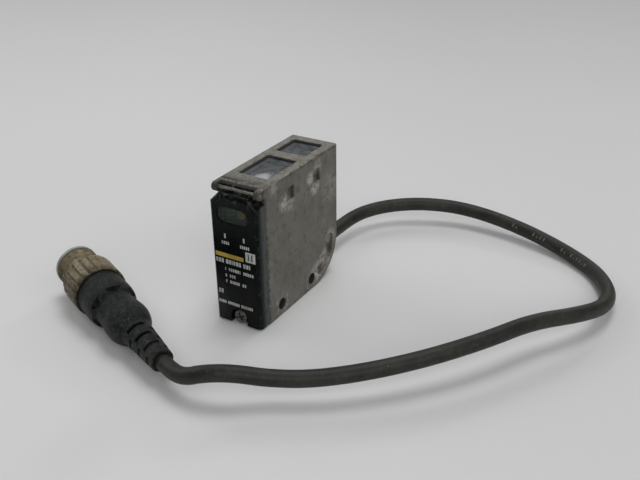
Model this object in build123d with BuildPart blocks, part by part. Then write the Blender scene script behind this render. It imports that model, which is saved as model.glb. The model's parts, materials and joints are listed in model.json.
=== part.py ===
from build123d import *
import os
from math import cos, radians, sin, tan

os.makedirs("parts", exist_ok=True)

# ---------------------------------------------------------------- driving dimensions (mm)
# The frame: +Z up, the optics look up, the cover faces -Y and the cable leaves towards +Y.
# The origin is the centre of the sensor's base.
WIDTH = 14.6
DEPTH = 40.4
HEIGHT = 40.0

FRONT = -DEPTH / 2
BACK = DEPTH / 2
SIDE = WIDTH / 2

# Housing
WALL = 1.3
ROOF = 1.4
EDGE_ROUND = 0.45
TOP_REAR_ROUND = 0.6
CORNER_Y = 7.6
CORNER_R = 12.6
FLOOR_TOP = 7.2
WELL_FRONT = 9.0
MOUNT_HOLE_R = 1.6
MOUNT_HOLE_Z = 3.5
MOUNT_HOLES_Y = (-10.0, 5.5)
GROOVE_R = 8.3
GROOVE_WIDTH = 4.7
GROOVE_DEPTH = 1.1
GROOVE_ANGLES = (-68.0, -10.4)
GROOVE_PAD = 0.4
RAMP_Z = (32.5, 36.2)
RAMP_DEPTH = 0.9
RAMPS_Y = ((-7.4, -2.3), (5.7, 10.8))
ROOF_LINE_Y = -14.65
ROOF_LINE_X = (-SIDE, -1.8)
ROOF_LINE_SIZE = 0.35

# Cover, its hinge and its screw
COVER_DEPTH = 4.26
COVER_GAP = 0.1
COVER_SIDE = 7.25
COVER_BOTTOM = 0.5
COVER_TOP = 38.0
COVER_CORNER = 2.6
COVER_ROUND = 1.2
COVER_WALL = 0.9
COVER_PLATE = 1.1
COVER_HOLLOW_BOTTOM = 6.9
SEAM = FRONT + COVER_DEPTH
COVER_BACK = SEAM - COVER_GAP
HINGE_Y = -17.6
HINGE_Z = 38.7
HINGE_PIN_R = 0.5
LUG_R = HEIGHT - HINGE_Z
LUG_INNER_X = 5.7
LUG_BACK = -13.0
ROOF_FRONT = -16.5
ROOF_CHAMFER = 0.6
HOOK_R = 0.95
HOOK_BORE_R = 0.58
HOOK_MOUTH = (80, 145, 210)
HOOKS_X = ((-5.3, -2.0), (-1.0, 5.3))
RIB_X = -1.5
RIB_WIDTH = 0.35
RIB_Z = (38.2, 39.5)
SCREW_X = 0.2
SCREW_Z = 2.5
SCREW_HEAD_R = 2.0
SCREW_HEAD_DEPTH = 1.4
SCREW_SHAFT_R = 0.95
SCREW_SHAFT_LENGTH = 4.3
SCREW_SLOT_TURN = 25
SCREW_CLIP_R = 1.6
NOTCH_R = 2.6
NOTCH_DEPTH = 1.8
COVER_WINDOW_AT = (-0.2, 32.4)
COVER_WINDOW_SIZE = (9.6, 4.6)

# Top windows: name, centre along Y, length along Y
WINDOW_WIDTH = 9.6
WINDOW_ROUND = 0.7
WINDOWS = (("receiver", -3.45, 14.1), ("emitter", 12.1, 9.8))
RIM = 0.45
GLASS_TOP = HEIGHT - 0.7

# Operation panel and what is set on it
PANEL_FRONT = -15.7
PANEL_BACK = -14.5
ADJUSTER_Z = 16.5
SPINDLE_R = 1.0
SELECTOR_Z = 24.5
GREEN_AT = (-2.2, 32.2)
AMBER_AT = (1.2, 32.2)
BOARD_THICKNESS = 0.8
POSTS_AT = ((-3.9, 10.6), (3.9, 10.6))

# Cable, gland and connector
CABLE_R = 2.1
CABLE_Z = 5.6
GLAND_END = 25.4
GLAND_HOLE_R = 2.9
ENTRY_R = 3.7
ENTRY_BACK = 19.4
ENTRY_FRONT = 15.0
CLAMP_POSTS_AT = ((-4.3, 13.0), (4.3, 13.0))
CLAMP_BOTTOM = 6.0
CABLE_ROUTE = [
    (0, 25.4, 5.6),
    (0, 34.7, 5.6),
    (1.3, 43.8, 6.2),
    (5.2, 51.4, 6.4),
    (11.3, 57.3, 6.6),
    (19, 61.5, 6.7),
    (28, 64.7, 6.2),
    (39, 65.1, 5.4),
    (51.7, 63, 4.3),
    (62.4, 59.8, 3.0),
    (69.8, 56.2, 2.4),
    (77.3, 50.2, 2.4),
    (82.7, 40.8, 2.9),
    (84, 30, 4.5),
    (80.1, 18.2, 7.4),
    (71.3, 6, 9.3),
    (64.6, -7.4, 9.7),
    (55.3, -20.1, 9.0),
    (44.8, -31, 8.1),
    (34.4, -38.9, 7.2),
    (25.7, -43.7, 7.3),
    (18.9, -48.5, 8.5),
    (12.8, -51.5, 7.6),
    (7.8, -52.3, 6.5),
    (3, -51.43, 5.94),
    (-1.2, -49.6, 6.1),
]
CONNECTOR_END = CABLE_ROUTE[-1]
CONNECTOR_HEADING = 156.4
CONNECTOR_TILT = 2.0
BODY_FRONT = 37.2
CARRIER_POCKET = 30.0
NUT_BACK = 36.9
NUT_RECESS_R = 6.85
NUT_RECESS_DEPTH = 0.8
GRIP_FRONT = 45.6
GRIP_R = 7.4
GRIP_GROOVES = 20
GRIP_GROOVE_R = 0.42
COLLAR_FRONT = 47.1
COLLAR_R = 6.5
THREAD_R = 6.0
THREAD_DEPTH = 0.5
THREAD_PITCH = 1.0
THREAD_TURNS = 6
NUT_FRONT = 53.8
BARREL_BORE_R = 4.6
CARRIER_R = 4.9
CARRIER_FACE = 45.4
RETAINER = (39.6, 41.4)
PIN_CIRCLE_R = 2.37
PIN_R = 0.49


# ---------------------------------------------------------------- housing
POST_R = 1.5
POST_BACK = -9.5
POST_FRONT = -14.3
POST_HOLE_DEPTH = 4.2
CLAMP_POST_R = 1.4
CLAMP_POST_FOOT = 1.8
CLAMP_HOLE_DEPTH = 3.0
SMALL_SCREW_HOLE_R = 0.7
SMALL_SCREW_R = 0.68

housing_side_plane = Plane.YZ.offset(-SIDE)
inner_corner_r = CORNER_R - WALL

with BuildPart() as lugs:
    for lug_side in (-1, 1):
        with BuildSketch(Plane.YZ.offset(lug_side * LUG_INNER_X)):
            with Locations((HINGE_Y, HINGE_Z)):
                Circle(LUG_R)
                Rectangle(LUG_BACK - HINGE_Y, 2 * LUG_R, align=(Align.MIN, Align.CENTER))
        extrude(amount=lug_side * (SIDE - LUG_INNER_X))
    fillet(lugs.faces().sort_by(Axis.X)[0].edges(), radius=EDGE_ROUND)
    fillet(lugs.faces().sort_by(Axis.X)[-1].edges(), radius=EDGE_ROUND)

with BuildPart() as housing:
    with BuildSketch(housing_side_plane):
        with BuildLine():
            Line((SEAM, 0), (CORNER_Y, 0))
            RadiusArc((CORNER_Y, 0), (BACK, CORNER_R), -CORNER_R)
            Line((BACK, CORNER_R), (BACK, HEIGHT))
            Line((BACK, HEIGHT), (SEAM, HEIGHT))
            Line((SEAM, HEIGHT), (SEAM, 0))
        make_face()
    extrude(amount=WIDTH)
    top_edges = housing.edges().filter_by(Axis.X).group_by(Axis.Z)[-1]
    fillet(top_edges.sort_by(Axis.Y)[-1], radius=TOP_REAR_ROUND)
    fillet(housing.faces().sort_by(Axis.X)[0].edges(), radius=EDGE_ROUND)
    fillet(housing.faces().sort_by(Axis.X)[-1].edges(), radius=EDGE_ROUND)

    # the roof's front edge, the hinge lugs beside it, and a thin rib that steadies the pin
    add(lugs.part)
    with BuildSketch(Plane.YZ.offset(-LUG_INNER_X)):
        with BuildLine():
            Polyline(
                (LUG_BACK, HEIGHT - ROOF),
                (ROOF_FRONT, HEIGHT - ROOF),
                (ROOF_FRONT, HEIGHT - ROOF_CHAMFER),
                (ROOF_FRONT + ROOF_CHAMFER, HEIGHT),
                (LUG_BACK, HEIGHT),
                close=True,
            )
        make_face()
    extrude(amount=2 * LUG_INNER_X)
    with BuildSketch(Plane.YZ.offset(RIB_X - RIB_WIDTH / 2)):
        with Locations((HINGE_Y, RIB_Z[0])):
            Rectangle(ROOF_FRONT + 0.5 - HINGE_Y, RIB_Z[1] - RIB_Z[0], align=(Align.MIN, Align.MIN))
    extrude(amount=RIB_WIDTH)
    with BuildSketch(Plane.YZ.offset(-SIDE)):
        with Locations((HINGE_Y, HINGE_Z)):
            Circle(HINGE_PIN_R)
    extrude(amount=WIDTH, mode=Mode.SUBTRACT)

    # inside: a shallow front bay over a solid floor, and a deeper well behind it for the cable
    with BuildSketch(Plane.YZ.offset(-SIDE + WALL)):
        well_drop = (inner_corner_r**2 - (WELL_FRONT - CORNER_Y) ** 2) ** 0.5
        with BuildLine():
            Line((SEAM - 0.5, FLOOR_TOP), (WELL_FRONT, FLOOR_TOP))
            Line((WELL_FRONT, FLOOR_TOP), (WELL_FRONT, CORNER_R - well_drop))
            RadiusArc(
                (WELL_FRONT, CORNER_R - well_drop),
                (CORNER_Y + inner_corner_r, CORNER_R),
                -inner_corner_r,
            )
            Line((CORNER_Y + inner_corner_r, CORNER_R), (CORNER_Y + inner_corner_r, HEIGHT - ROOF))
            Line((CORNER_Y + inner_corner_r, HEIGHT - ROOF), (SEAM - 0.5, HEIGHT - ROOF))
            Line((SEAM - 0.5, HEIGHT - ROOF), (SEAM - 0.5, FLOOR_TOP))
        make_face()
    extrude(amount=WIDTH - 2 * WALL, mode=Mode.SUBTRACT)

    # cable boss, panel screw posts and clamp posts
    with BuildSketch(Plane.XZ.offset(-ENTRY_BACK)):
        with Locations((0, CABLE_Z)):
            Circle(ENTRY_R)
    extrude(amount=ENTRY_BACK - ENTRY_FRONT)
    with BuildSketch(Plane.XZ.offset(-POST_BACK)):
        for post_x, post_z in POSTS_AT:
            with Locations((post_x, post_z)):
                Circle(POST_R)
                towards_wall = Align.MAX if post_x < 0 else Align.MIN
                Rectangle(2.2, 2 * POST_R, align=(towards_wall, Align.CENTER))
    extrude(amount=POST_BACK - POST_FRONT)
    with BuildSketch(Plane.XY.offset(CLAMP_POST_FOOT)):
        with Locations(*CLAMP_POSTS_AT):
            Circle(CLAMP_POST_R)
    extrude(amount=CLAMP_BOTTOM - 0.1 - CLAMP_POST_FOOT)

    # openings: windows, cable, mounting holes, screw holes
    for _, window_y, window_length in WINDOWS:
        with BuildSketch(Plane.XY.offset(HEIGHT)):
            with Locations((0, window_y)):
                RectangleRounded(WINDOW_WIDTH, window_length, WINDOW_ROUND)
        extrude(amount=-ROOF - 0.2, mode=Mode.SUBTRACT)
    gland_bores = (
        (ENTRY_R + 0.05, ENTRY_BACK),
        (GLAND_HOLE_R, ENTRY_FRONT),
        (CABLE_R + 0.15, WELL_FRONT + 0.2),
    )
    for bore_r, bore_front in gland_bores:
        with BuildSketch(Plane.XZ.offset(-BACK)):
            with Locations((0, CABLE_Z)):
                Circle(bore_r)
        extrude(amount=BACK - bore_front, mode=Mode.SUBTRACT)
    with BuildSketch(housing_side_plane):
        with Locations(*[(hole_y, MOUNT_HOLE_Z) for hole_y in MOUNT_HOLES_Y]):
            Circle(MOUNT_HOLE_R)
    extrude(amount=WIDTH, mode=Mode.SUBTRACT)
    for screw_hole_r, screw_hole_depth in ((1.25, 3.2), (SCREW_CLIP_R + 0.2, 0.8)):
        with BuildSketch(Plane.XZ.offset(-SEAM)):
            with Locations((SCREW_X, SCREW_Z)):
                Circle(screw_hole_r)
        extrude(amount=-screw_hole_depth, mode=Mode.SUBTRACT)
    with BuildSketch(Plane.XZ.offset(-POST_FRONT)):
        with Locations(*POSTS_AT):
            Circle(SMALL_SCREW_HOLE_R)
    extrude(amount=-POST_HOLE_DEPTH, mode=Mode.SUBTRACT)
    with BuildSketch(Plane.XY.offset(CLAMP_BOTTOM - 0.1)):
        with Locations(*CLAMP_POSTS_AT):
            Circle(SMALL_SCREW_HOLE_R)
    extrude(amount=-CLAMP_HOLE_DEPTH, mode=Mode.SUBTRACT)
    with Locations((ROOF_LINE_X[0], ROOF_LINE_Y, HEIGHT)):
        Box(
            ROOF_LINE_X[1] - ROOF_LINE_X[0],
            ROOF_LINE_SIZE,
            ROOF_LINE_SIZE,
            align=(Align.MIN, Align.CENTER, Align.MAX),
            mode=Mode.SUBTRACT,
        )

    # on each side a curved groove, with the wall thickened behind it, and two ramped pockets
    groove_start, groove_end = GROOVE_ANGLES
    for face_x, inward in ((SIDE, -1), (-SIDE, 1)):
        groove_line = CenterArc((CORNER_Y, CORNER_R), GROOVE_R, groove_start, groove_end - groove_start)
        with BuildSketch(Plane.YZ.offset(face_x + inward * WALL)):
            SlotArc(groove_line, GROOVE_WIDTH + 2 * GROOVE_PAD)
        extrude(amount=inward * GROOVE_PAD)
        with BuildSketch(Plane.YZ.offset(face_x)):
            SlotArc(groove_line, GROOVE_WIDTH)
        extrude(amount=inward * GROOVE_DEPTH, mode=Mode.SUBTRACT)
        for ramp_front, ramp_back in RAMPS_Y:
            with BuildSketch(Plane.XY.offset(RAMP_Z[0])):
                with BuildLine():
                    Polyline(
                        (face_x, ramp_front),
                        (face_x, ramp_back),
                        (face_x + inward * RAMP_DEPTH, ramp_back),
                        close=True,
                    )
                make_face()
            extrude(amount=RAMP_Z[1] - RAMP_Z[0], mode=Mode.SUBTRACT)

housing.part.label = "housing"
export_step(housing.part, "parts/housing.step")

with BuildPart() as hinge_pin:
    with BuildSketch(Plane.YZ.offset(-SIDE + 0.1)):
        with Locations((HINGE_Y, HINGE_Z)):
            Circle(HINGE_PIN_R)
    extrude(amount=WIDTH - 0.2)
hinge_pin.part.label = "hinge_pin"
export_step(hinge_pin.part, "parts/hinge_pin.step")


# ---------------------------------------------------------------- front cover
def cover_outline(side, bottom, top, corner):
    """Cover's outline seen from the front: upright sides and two cut top corners."""
    return [
        (-side, bottom),
        (side, bottom),
        (side, top - corner),
        (side - corner, top),
        (-side + corner, top),
        (-side, top - corner),
    ]


with BuildPart() as front_cover:
    with BuildSketch(Plane.XZ.offset(-COVER_BACK)):
        with BuildLine():
            Polyline(*cover_outline(COVER_SIDE, COVER_BOTTOM, COVER_TOP, COVER_CORNER), close=True)
        make_face()
    extrude(amount=COVER_BACK - FRONT)
    front_edges = front_cover.faces().sort_by(Axis.Y)[0].edges().sort_by(Axis.Z)
    fillet(front_edges[1:], radius=COVER_ROUND)
    with BuildSketch(Plane.XZ.offset(-COVER_BACK)):
        hollow = cover_outline(
            COVER_SIDE - COVER_WALL, COVER_HOLLOW_BOTTOM, COVER_TOP - 1.0, COVER_CORNER - 0.5
        )
        with BuildLine():
            Polyline(*hollow, close=True)
        make_face()
    extrude(amount=COVER_BACK - FRONT - COVER_PLATE, mode=Mode.SUBTRACT)

    # notch for the screw, open at the bottom edge, and the hole in its floor
    with BuildSketch(Plane.XZ.offset(-FRONT)):
        with Locations((SCREW_X, SCREW_Z)):
            Circle(NOTCH_R)
            Rectangle(2 * NOTCH_R, SCREW_Z, align=(Align.CENTER, Align.MAX))
    extrude(amount=-NOTCH_DEPTH, mode=Mode.SUBTRACT)
    with BuildSketch(Plane.XZ.offset(-FRONT)):
        with Locations((SCREW_X, SCREW_Z)):
            Circle(SCREW_SHAFT_R + 0.1)
    extrude(amount=-COVER_DEPTH, mode=Mode.SUBTRACT)

    # window opening
    with BuildSketch(Plane.XZ.offset(-FRONT)):
        with Locations(COVER_WINDOW_AT):
            SlotOverall(*COVER_WINDOW_SIZE)
    extrude(amount=-COVER_PLATE - 0.2, mode=Mode.SUBTRACT)

    # two fingers that snap onto the hinge pin from below and behind
    mouth_outline = [(HINGE_Y, HINGE_Z)]
    for mouth_angle in HOOK_MOUTH:
        mouth_y = HINGE_Y + 2 * HOOK_R * cos(radians(mouth_angle))
        mouth_z = HINGE_Z + 2 * HOOK_R * sin(radians(mouth_angle))
        mouth_outline.append((mouth_y, mouth_z))
    for finger_start, finger_end in HOOKS_X:
        with BuildSketch(Plane.YZ.offset(finger_start)):
            with Locations((HINGE_Y, HINGE_Z)):
                Circle(HOOK_R)
                Rectangle(2 * HOOK_R - 0.2, HINGE_Z - COVER_TOP + 0.5, align=(Align.CENTER, Align.MAX))
                Circle(HOOK_BORE_R, mode=Mode.SUBTRACT)
            with BuildLine():
                Polyline(*mouth_outline, close=True)
            make_face(mode=Mode.SUBTRACT)
        extrude(amount=finger_end - finger_start)
front_cover.part.label = "front_cover"
export_step(front_cover.part, "parts/front_cover.step")

with BuildPart() as cover_window:
    with BuildSketch(Plane.XZ.offset(-FRONT - COVER_PLATE)):
        with Locations(COVER_WINDOW_AT):
            SlotOverall(COVER_WINDOW_SIZE[0] - 0.06, COVER_WINDOW_SIZE[1] - 0.06)
    extrude(amount=COVER_PLATE - 0.25)
    with BuildSketch(Plane.XZ.offset(-FRONT - COVER_PLATE)):
        with Locations(COVER_WINDOW_AT):
            SlotOverall(COVER_WINDOW_SIZE[0] + 1.6, COVER_WINDOW_SIZE[1] + 1.6)
    extrude(amount=-0.5)
cover_window.part.label = "cover_window"
export_step(cover_window.part, "parts/cover_window.step")

screw_head_front = FRONT + NOTCH_DEPTH - SCREW_HEAD_DEPTH
with BuildPart() as cover_screw:
    with BuildSketch(Plane.XZ.offset(-(FRONT + NOTCH_DEPTH))):
        with Locations((SCREW_X, SCREW_Z)):
            Circle(SCREW_HEAD_R)
    extrude(amount=SCREW_HEAD_DEPTH)
    fillet(cover_screw.edges().group_by(Axis.Y)[0], radius=0.35)
    with BuildSketch(Plane.XZ.offset(-(FRONT + NOTCH_DEPTH))):
        with Locations((SCREW_X, SCREW_Z)):
            Circle(SCREW_SHAFT_R)
    extrude(amount=-SCREW_SHAFT_LENGTH)
    with BuildSketch(Plane.XZ.offset(-screw_head_front)):
        with Locations(Location((SCREW_X, SCREW_Z, 0), (0, 0, SCREW_SLOT_TURN))):
            Rectangle(3.1, 0.55)
            Rectangle(0.55, 2.2)
    extrude(amount=-0.6, mode=Mode.SUBTRACT)
cover_screw.part.label = "cover_screw"
export_step(cover_screw.part, "parts/cover_screw.step")

with BuildPart() as screw_clip:
    with BuildSketch(Plane.XZ.offset(-(COVER_BACK + 0.15))):
        with Locations((SCREW_X, SCREW_Z)):
            Circle(SCREW_CLIP_R)
            Circle(SCREW_SHAFT_R, mode=Mode.SUBTRACT)
            Rectangle(2.0, 1.3, align=(Align.MIN, Align.CENTER), mode=Mode.SUBTRACT)
    extrude(amount=-0.35)
screw_clip.part.label = "screw_clip"
export_step(screw_clip.part, "parts/screw_clip.step")


# ---------------------------------------------------------------- top windows and optics
for window_name, window_y, window_length in WINDOWS:
    flange_top = HEIGHT - ROOF
    with BuildPart() as gasket:
        with BuildSketch(Plane.XY.offset(flange_top)):
            with Locations((0, window_y)):
                RectangleRounded(WINDOW_WIDTH - 0.06, window_length - 0.06, WINDOW_ROUND - 0.03)
        extrude(amount=1.1)
        with BuildSketch(Plane.XY.offset(flange_top)):
            with Locations((0, window_y)):
                RectangleRounded(WINDOW_WIDTH + 1.2, window_length + 1.2, 1.0)
        extrude(amount=-0.3)
        with BuildSketch(Plane.XY.offset(flange_top - 0.3)):
            with Locations((0, window_y)):
                RectangleRounded(WINDOW_WIDTH - 2 * RIM, window_length - 2 * RIM, 0.4)
        extrude(amount=1.5, mode=Mode.SUBTRACT)
    gasket.part.label = window_name + "_gasket"
    export_step(gasket.part, "parts/" + window_name + "_gasket.step")

    with BuildPart() as window:
        with BuildSketch(Plane.XY.offset(GLASS_TOP)):
            with Locations((0, window_y)):
                glass_gap = 2 * RIM + 0.06
                RectangleRounded(WINDOW_WIDTH - glass_gap, window_length - glass_gap, 0.35)
        extrude(amount=-(GLASS_TOP - flange_top + 0.9))
        with BuildSketch(Plane.XY.offset(flange_top - 0.3)):
            with Locations((0, window_y)):
                RectangleRounded(WINDOW_WIDTH + 1.2, window_length + 1.2, 1.0)
        extrude(amount=-0.6)
    window.part.label = window_name + "_window"
    export_step(window.part, "parts/" + window_name + "_window.step")

# Lenses: name, centre along Y, length, dome's radius, seat's height, dome's top
HOLDER_TOP = 37.5
HOLDER_BOTTOM = 32.0
HOLDER_SIZE = (11.6, 29.6)
HOLDER_Y = 3.8
LENS_WIDTH = 8.8
LENS_LEDGE = 0.6
LENSES = (
    ("receiver_lens", WINDOWS[0][1], 13.2, 14.0, 34.4, 37.2),
    ("emitter_lens", WINDOWS[1][1], 9.2, 7.5, 33.2, 37.3),
)

with BuildPart() as lens_holder:
    with BuildSketch(Plane.XY.offset(HOLDER_BOTTOM)):
        with Locations((0, HOLDER_Y)):
            RectangleRounded(*HOLDER_SIZE, 0.8)
    extrude(amount=HOLDER_TOP - HOLDER_BOTTOM)
    for _, lens_y, lens_length, _, seat_z, _ in LENSES:
        with BuildSketch(Plane.XY.offset(seat_z)):
            with Locations((0, lens_y)):
                Rectangle(LENS_WIDTH + 0.1, lens_length + 0.1)
        extrude(amount=HOLDER_TOP - seat_z, mode=Mode.SUBTRACT)
        with BuildSketch(Plane.XY.offset(HOLDER_BOTTOM)):
            with Locations((0, lens_y)):
                Rectangle(LENS_WIDTH - 2 * LENS_LEDGE, lens_length - 2 * LENS_LEDGE)
        extrude(amount=seat_z - HOLDER_BOTTOM, mode=Mode.SUBTRACT)
lens_holder.part.label = "lens_holder"
export_step(lens_holder.part, "parts/lens_holder.step")

for lens_name, lens_y, lens_length, dome_r, seat_z, dome_top in LENSES:
    with BuildPart() as lens:
        with BuildSketch(Plane.XY.offset(seat_z)):
            with Locations((0, lens_y)):
                Rectangle(LENS_WIDTH, lens_length)
        extrude(amount=dome_top - seat_z)
        with Locations((0, lens_y, dome_top - dome_r)):
            Sphere(dome_r, mode=Mode.INTERSECT)
    lens.part.label = lens_name
    export_step(lens.part, "parts/" + lens_name + ".step")

LED_Y = WINDOWS[1][1]
LED_FOOT = 24.4
LED_R = 1.5
LED_HEIGHT = 2.4
with BuildPart() as emitter_led:
    for led_part_r, led_part_height in ((LED_R, LED_HEIGHT), (LED_R + 0.3, 0.5)):
        with BuildSketch(Plane.XY.offset(LED_FOOT)):
            with Locations((0, LED_Y)):
                Circle(led_part_r)
        extrude(amount=led_part_height)
    with Locations((0, LED_Y, LED_FOOT + LED_HEIGHT)):
        Sphere(LED_R)
emitter_led.part.label = "emitter_led"
export_step(emitter_led.part, "parts/emitter_led.step")

with BuildPart() as emitter_board:
    with BuildSketch(Plane.XY.offset(LED_FOOT)):
        with Locations((0, LED_Y)):
            Rectangle(7.4, 7.2)
    extrude(amount=-BOARD_THICKNESS)
emitter_board.part.label = "emitter_board"
export_step(emitter_board.part, "parts/emitter_board.step")


# ---------------------------------------------------------------- distance adjuster and its carriage
FRAME_WIDTH = 7.8
FRAME_Y = (-13.0, 7.0)
FRAME_BASE = 12.6
FRAME_HEIGHT = 6.4
FRAME_END_WALL = 1.0
RODS_AT = ((-2.9, ADJUSTER_Z), (2.9, ADJUSTER_Z))
ROD_R = 0.48
CARRIAGE_SIZE = (7.6, 4.6, 3.2)
CARRIAGE_Y = -4.8

with BuildPart() as guide_frame:
    frame_length = FRAME_Y[1] - FRAME_Y[0]
    with BuildSketch(Plane.XY.offset(FRAME_BASE)):
        with Locations((0, FRAME_Y[0])):
            Rectangle(FRAME_WIDTH, frame_length, align=(Align.CENTER, Align.MIN))
    extrude(amount=0.8)
    for wall_back in (FRAME_Y[0] + FRAME_END_WALL, FRAME_Y[1]):
        with BuildSketch(Plane.XZ.offset(-wall_back)):
            with Locations((0, FRAME_BASE)):
                Rectangle(FRAME_WIDTH, FRAME_HEIGHT, align=(Align.CENTER, Align.MIN))
        extrude(amount=FRAME_END_WALL)
    with BuildSketch(Plane.XZ.offset(-FRAME_Y[1])):
        with Locations((0, ADJUSTER_Z)):
            Circle(SPINDLE_R + 0.05)
        with Locations(*RODS_AT):
            Circle(ROD_R + 0.02)
    extrude(amount=frame_length, mode=Mode.SUBTRACT)
guide_frame.part.label = "guide_frame"
export_step(guide_frame.part, "parts/guide_frame.step")

with BuildPart() as guide_rods:
    with BuildSketch(Plane.XZ.offset(-FRAME_Y[1] + 0.1)):
        with Locations(*RODS_AT):
            Circle(ROD_R)
    extrude(amount=frame_length - 0.2)
guide_rods.part.label = "guide_rods"
export_step(guide_rods.part, "parts/guide_rods.step")

ADJUSTER_FRONT = -17.0
NECK_R = 1.2
with BuildPart() as distance_adjuster:
    # shaft, retaining collar, neck and slotted head, from the inside outwards
    for reach_back, reach_front, shaft_r in (
        (FRAME_Y[1] + 0.5, -14.0, SPINDLE_R),
        (-13.7, -14.3, 1.7),
        (-14.0, -16.0, NECK_R),
        (-15.9, ADJUSTER_FRONT, 1.9),
    ):
        with BuildSketch(Plane.XZ.offset(-reach_back)):
            with Locations((0, ADJUSTER_Z)):
                Circle(shaft_r)
        extrude(amount=reach_back - reach_front)
    with BuildSketch(Plane.XZ.offset(-ADJUSTER_FRONT)):
        with Locations((0, ADJUSTER_Z)):
            Rectangle(3.0, 0.5)
    extrude(amount=-0.6, mode=Mode.SUBTRACT)
    with BuildSketch(Plane.XZ.offset(-ADJUSTER_FRONT)):
        with Locations((0, ADJUSTER_Z + 1.35)):
            Circle(0.25)
    extrude(amount=-0.15, mode=Mode.SUBTRACT)
distance_adjuster.part.label = "distance_adjuster"
export_step(distance_adjuster.part, "parts/distance_adjuster.step")

SEAL_CORD_R = 0.34
SEAL_Y = -15.2
with BuildPart() as adjuster_seal:
    with BuildSketch(Plane.XY):
        with Locations((NECK_R + SEAL_CORD_R + 0.08, 0)):
            Circle(SEAL_CORD_R)
    revolve(axis=Axis.Y)
adjuster_seal_part = adjuster_seal.part.moved(Location((0, SEAL_Y, ADJUSTER_Z)))
adjuster_seal_part.label = "adjuster_seal"
export_step(adjuster_seal_part, "parts/adjuster_seal.step")

with BuildPart() as photodiode_carriage:
    carriage_width, carriage_length, carriage_height = CARRIAGE_SIZE
    with BuildSketch(Plane.XZ.offset(-CARRIAGE_Y)):
        with Locations((0, ADJUSTER_Z)):
            Rectangle(carriage_width, carriage_height)
            Circle(SPINDLE_R + 0.06, mode=Mode.SUBTRACT)
        with Locations(*RODS_AT):
            Circle(ROD_R + 0.06, mode=Mode.SUBTRACT)
    extrude(amount=carriage_length / 2, both=True)
photodiode_carriage.part.label = "photodiode_carriage"
export_step(photodiode_carriage.part, "parts/photodiode_carriage.step")

with BuildPart() as photodiode:
    with BuildSketch(Plane.XY.offset(ADJUSTER_Z + CARRIAGE_SIZE[2] / 2)):
        with Locations((0, CARRIAGE_Y)):
            Rectangle(3.2, 2.8)
    extrude(amount=0.9)
photodiode.part.label = "photodiode"
export_step(photodiode.part, "parts/photodiode.step")


# ---------------------------------------------------------------- operation panel
PANEL_SIZE = (11.8, 31.0)
PANEL_Z = 22.9
SELECTOR_R = 1.6
SELECTOR_FRONT = -16.4
SELECTOR_STEM_R = 0.7
LIGHT_R = 1.2
LIGHT_FRONT = -18.3
PANEL_SCREW_HOLE_R = 0.85
GASKET_SIZE = (11.4, 27.8)
GASKET_BAND = 0.6
GASKET_Z = 21.6

with BuildPart() as operation_panel:
    with BuildSketch(Plane.XZ.offset(-PANEL_BACK)):
        with Locations((0, PANEL_Z)):
            RectangleRounded(*PANEL_SIZE, 0.5)
    extrude(amount=PANEL_BACK - PANEL_FRONT)
    with BuildSketch(Plane.XZ.offset(-PANEL_BACK)):
        with Locations((0, ADJUSTER_Z)):
            Circle(NECK_R + 0.06)
        with Locations((0, SELECTOR_Z)):
            Circle(SELECTOR_R + 0.1)
        with Locations(GREEN_AT, AMBER_AT):
            Circle(LIGHT_R + 0.05)
        with Locations(*POSTS_AT):
            Circle(PANEL_SCREW_HOLE_R)
    extrude(amount=PANEL_BACK - PANEL_FRONT, mode=Mode.SUBTRACT)
    with BuildSketch(Plane.XZ.offset(-PANEL_FRONT)):
        with Locations((0, ADJUSTER_Z)):
            Circle(NECK_R + 2 * SEAL_CORD_R + 0.12)
    extrude(amount=-0.9, mode=Mode.SUBTRACT)
operation_panel.part.label = "operation_panel"
export_step(operation_panel.part, "parts/operation_panel.step")

with BuildPart() as cover_gasket:
    with BuildSketch(Plane.XZ.offset(-PANEL_FRONT)):
        with Locations((0, GASKET_Z)):
            RectangleRounded(*GASKET_SIZE, 1.2)
            inner_size = [side - 2 * GASKET_BAND for side in GASKET_SIZE]
            RectangleRounded(*inner_size, 0.7, mode=Mode.SUBTRACT)
    extrude(amount=GASKET_BAND)
cover_gasket.part.label = "cover_gasket"
export_step(cover_gasket.part, "parts/cover_gasket.step")

with BuildPart() as panel_screws:
    with BuildSketch(Plane.XZ.offset(-PANEL_FRONT)):
        with Locations(*POSTS_AT):
            Circle(0.95)
    extrude(amount=0.6)
    with BuildSketch(Plane.XZ.offset(-PANEL_FRONT)):
        with Locations(*POSTS_AT):
            Circle(SMALL_SCREW_R)
    extrude(amount=-4.6)
    with BuildSketch(Plane.XZ.offset(-PANEL_FRONT + 0.6)):
        with Locations(*POSTS_AT):
            Rectangle(1.3, 0.3)
            Rectangle(0.3, 1.3)
    extrude(amount=-0.3, mode=Mode.SUBTRACT)
panel_screws.part.label = "panel_screws"
export_step(panel_screws.part, "parts/panel_screws.step")

with BuildPart() as operation_selector:
    with BuildSketch(Plane.XZ.offset(-PANEL_BACK)):
        with Locations((0, SELECTOR_Z)):
            Circle(SELECTOR_R)
    extrude(amount=PANEL_BACK - SELECTOR_FRONT)
    with BuildSketch(Plane.XZ.offset(-PANEL_BACK - 1.5)):
        with Locations((0, SELECTOR_Z)):
            Circle(SELECTOR_STEM_R)
    extrude(amount=1.6)
    with BuildSketch(Plane.XZ.offset(-SELECTOR_FRONT)):
        with Locations((0, SELECTOR_Z)):
            Rectangle(0.5, 2.4)
    extrude(amount=-0.6, mode=Mode.SUBTRACT)
operation_selector.part.label = "operation_selector"
export_step(operation_selector.part, "parts/operation_selector.step")

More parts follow.
